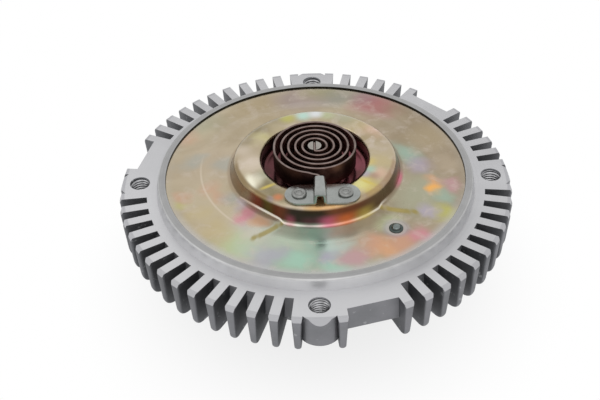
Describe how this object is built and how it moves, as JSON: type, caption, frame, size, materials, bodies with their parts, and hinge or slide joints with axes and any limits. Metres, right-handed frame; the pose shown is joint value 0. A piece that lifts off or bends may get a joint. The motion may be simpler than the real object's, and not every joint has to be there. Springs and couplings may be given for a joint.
{
  "type": "viscous fan clutch",
  "caption": "Finned aluminium fan clutch with a pressed cover and bimetal coil; it turns on a flanged input shaft and drives an engine cooling fan through silicone oil.",
  "frame": {"origin": "centre of the input shaft's flange, on its mounting face", "axes": "+Z along the turning axis towards the cover and the bimetal coil; the fan bosses lie on the X and Y axes"},
  "size_m": [0.17, 0.17, 0.071],
  "materials": {
    "cast_aluminium": "as cast, with a machined rim",
    "rotor_aluminium": "turned",
    "chromated_steel": "iridescent yellow chromate",
    "plated_steel": "bright zinc",
    "rivet_steel": "dull",
    "plug_steel": "dark, oiled",
    "bimetal_strip": "heat-browned",
    "shaft_steel": "turned and oiled",
    "spindle_steel": "turned",
    "bearing_steel": "ground",
    "shield_steel": "pressed",
    "spring_steel": "phosphated",
    "cage_plastic": "moulded",
    "bush_bronze": "turned",
    "seal_rubber": "moulded"
  },
  "bodies": {
    "hub": {"input_shaft": "shaft_steel", "bearing_inner_ring": "bearing_steel", "rotor": "rotor_aluminium", "rotor_retaining_ring": "spring_steel"},
    "fan_housing": {"housing": "cast_aluminium", "housing_lip": "cast_aluminium", "bearing_outer_ring": "bearing_steel", "bearing_front_shield": "shield_steel", "bearing_rear_shield": "shield_steel", "bearing_snap_ring": "spring_steel", "cover_seal": "seal_rubber", "separator_plate": "plated_steel", "wiper": "plated_steel", "wiper_rivets": "rivet_steel", "cover_plate": "chromated_steel", "shaft_bush": "bush_bronze", "bimetal_coil": "bimetal_strip", "coil_bracket": "plated_steel", "bracket_rivets": "rivet_steel", "fill_plug": "plug_steel"},
    "ball_set": {"bearing_balls": "bearing_steel", "bearing_cage": "cage_plastic"},
    "valve": {"control_shaft": "spindle_steel", "control_shaft_seal": "seal_rubber", "valve_arm": "plated_steel"}
  },
  "joints": [
    {"name": "housing_spin", "type": "hinge", "parent": "hub", "child": "fan_housing", "pos_m": [0, 0, 0.028], "axis": [0, 0, 1], "continuous": true},
    {"name": "ball_set_spin", "type": "hinge", "parent": "hub", "child": "ball_set", "pos_m": [0, 0, 0.028], "axis": [0, 0, 1], "continuous": true},
    {"name": "valve_turn", "type": "hinge", "parent": "fan_housing", "child": "valve", "pos_m": [0, 0, 0.058], "axis": [0, 0, -1], "range_deg": [0, 50], "stiffness_Nm_per_rad": 0.05, "deforming": ["bimetal_coil"]}
  ],
  "couplings": [
    {"joint": "ball_set_spin", "follows": "housing_spin", "ratio": 0.6179}
  ]
}
